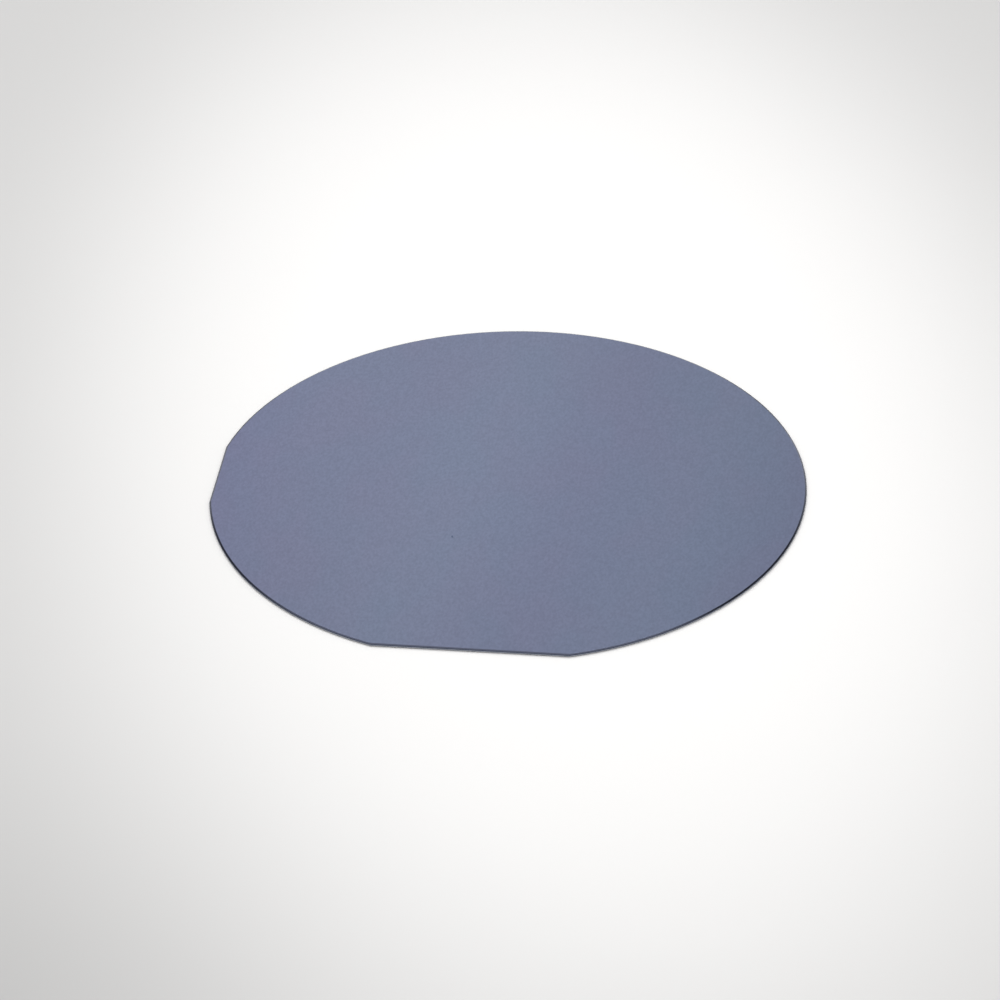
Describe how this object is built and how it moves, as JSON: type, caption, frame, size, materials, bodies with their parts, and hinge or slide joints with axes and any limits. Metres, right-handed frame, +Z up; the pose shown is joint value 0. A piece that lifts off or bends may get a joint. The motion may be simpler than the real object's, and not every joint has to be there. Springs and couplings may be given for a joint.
{
  "type": "silicon wafer",
  "caption": "Thin round silicon wafer with a mirror-polished face, a ground edge, and a primary and a secondary orientation flat.",
  "frame": {"origin": "centre of the round outline, on the back face", "axes": "+Z up out of the polished face, -Y out of the primary flat, -X out of the secondary flat"},
  "size_m": [0.0993, 0.0973, 0.0005],
  "materials": {
    "silicon": "slate blue mirror polish on the upper face, etched satin back, dark ground edge"
  },
  "bodies": {
    "root": {"wafer": "silicon"}
  },
  "joints": []
}
